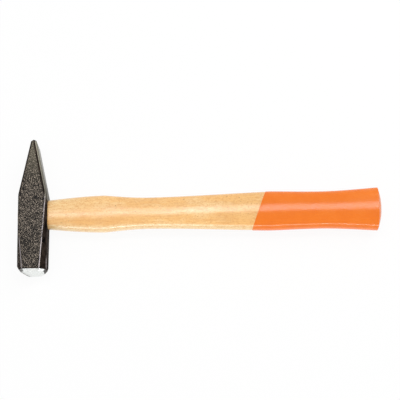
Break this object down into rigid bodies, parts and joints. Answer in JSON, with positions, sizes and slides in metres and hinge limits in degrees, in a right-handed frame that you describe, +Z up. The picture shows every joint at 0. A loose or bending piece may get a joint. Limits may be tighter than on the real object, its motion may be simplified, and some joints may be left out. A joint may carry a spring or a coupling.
{
  "type": "cross-pein hammer",
  "caption": "Fitter's hammer: square forged head with a cross pein and a crowned octagonal face, wedged on a double-swelled ash handle whose grip is dipped in orange lacquer.",
  "frame": {"origin": "on the lower cheek of the head, below the middle of the eye, with the hammer lying on that cheek", "axes": "+X along the handle from the head to the butt, +Y from the striking face to the pein, +Z up"},
  "size_m": [0.2908, 0.1094, 0.023],
  "materials": {
    "forged_head": "forged steel under speckled black lacquer, with bright edges and a polished striking face",
    "ash_wood": "straight-grained ash under clear varnish",
    "wedge_wood": "sanded hardwood, end grain",
    "wedge_steel": "bare pressed steel, hammered head",
    "orange_lacquer": "glossy dipped lacquer"
  },
  "bodies": {
    "root": {"hammer_head": "forged_head", "handle": "ash_wood", "wood_wedge": "wedge_wood", "steel_wedge": "wedge_steel", "grip_lacquer": "orange_lacquer"}
  },
  "joints": []
}
